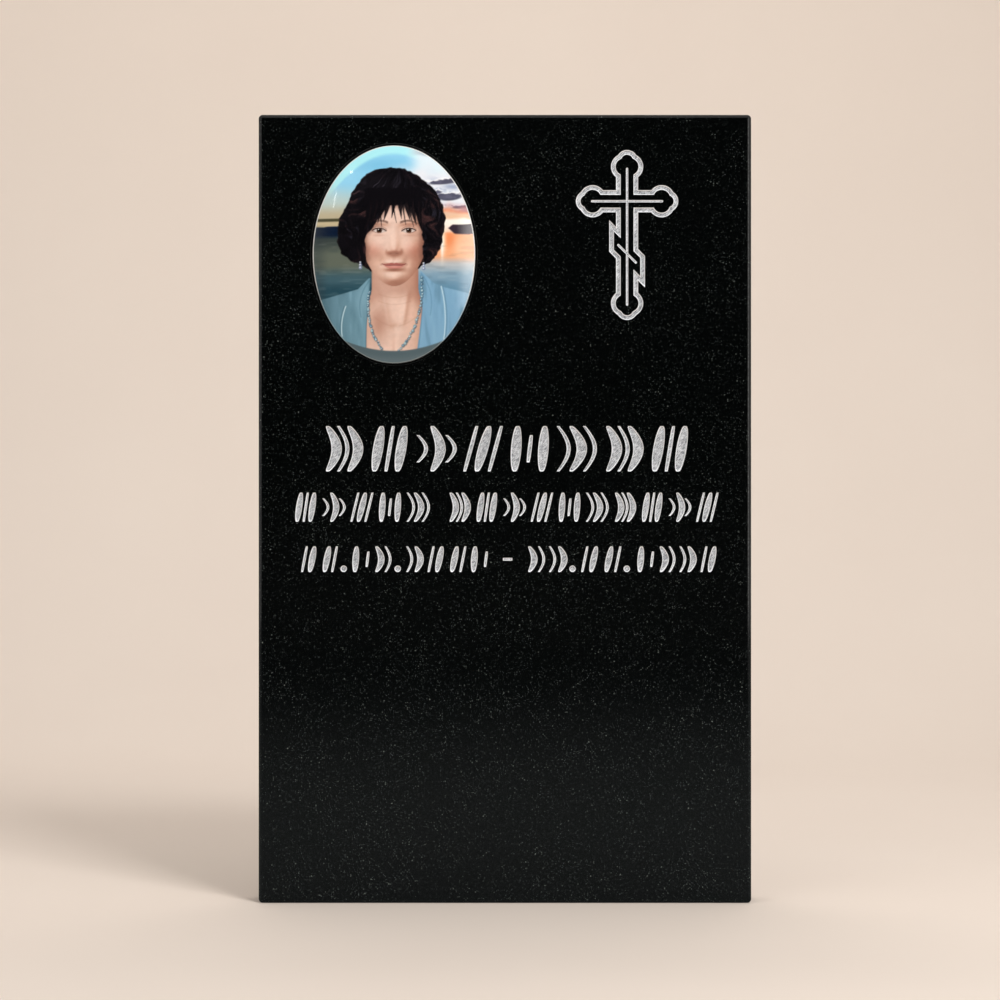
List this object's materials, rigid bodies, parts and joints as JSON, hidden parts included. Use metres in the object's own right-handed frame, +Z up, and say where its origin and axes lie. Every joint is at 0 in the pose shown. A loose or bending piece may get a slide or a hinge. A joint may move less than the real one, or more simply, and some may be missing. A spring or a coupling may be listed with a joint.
{
  "type": "headstone",
  "caption": "Upright polished black stone slab with an inlaid domed oval porcelain picture, a cut outline cross and rows of shallow cut strokes; it stands on its underside.",
  "frame": {"origin": "centre of the slab's underside, halfway through its thickness", "axes": "+Z up the slab, -Y out of the carved face towards the viewer, +X to the viewer's right"},
  "size_m": [0.5, 0.0603, 0.8],
  "materials": {
    "polished_granite": "polished near-black stone with fine grey-green flecks; the cut grooves are left rough and pale grey",
    "glazed_porcelain": "white porcelain under a painted picture and a clear gloss glaze"
  },
  "bodies": {
    "root": {"granite_slab": "polished_granite", "portrait_medallion": "glazed_porcelain"}
  },
  "joints": []
}
